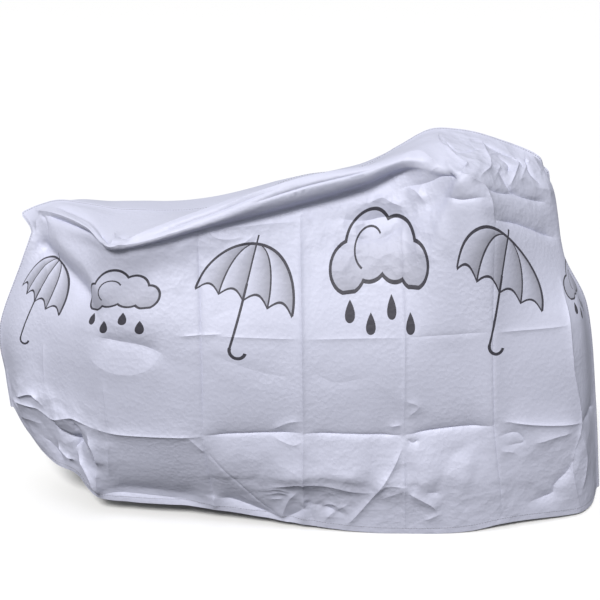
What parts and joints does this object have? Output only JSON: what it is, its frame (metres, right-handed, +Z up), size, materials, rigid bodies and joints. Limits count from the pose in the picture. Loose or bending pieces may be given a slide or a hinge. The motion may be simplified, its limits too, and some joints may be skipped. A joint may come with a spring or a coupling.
{
  "type": "two-wheeler cover",
  "caption": "Fitted rain cover for a parked two-wheeler, sewn from side panels of silver-grey film along the ridge and ends, draped in creased folds and open below.",
  "frame": {"origin": "middle of the bounding box's underside, level with the lowest point of the hem", "axes": "+X along the length from the low end to the high end, -Y towards the side shown in the picture, +Z up"},
  "size_m": [1.7515, 0.6282, 1.0594],
  "materials": {
    "film": "satin silver-grey plastic film with fold creases and a dark printed band"
  },
  "bodies": {
    "root": {"near_panel": "film", "far_panel": "film"}
  },
  "joints": []
}
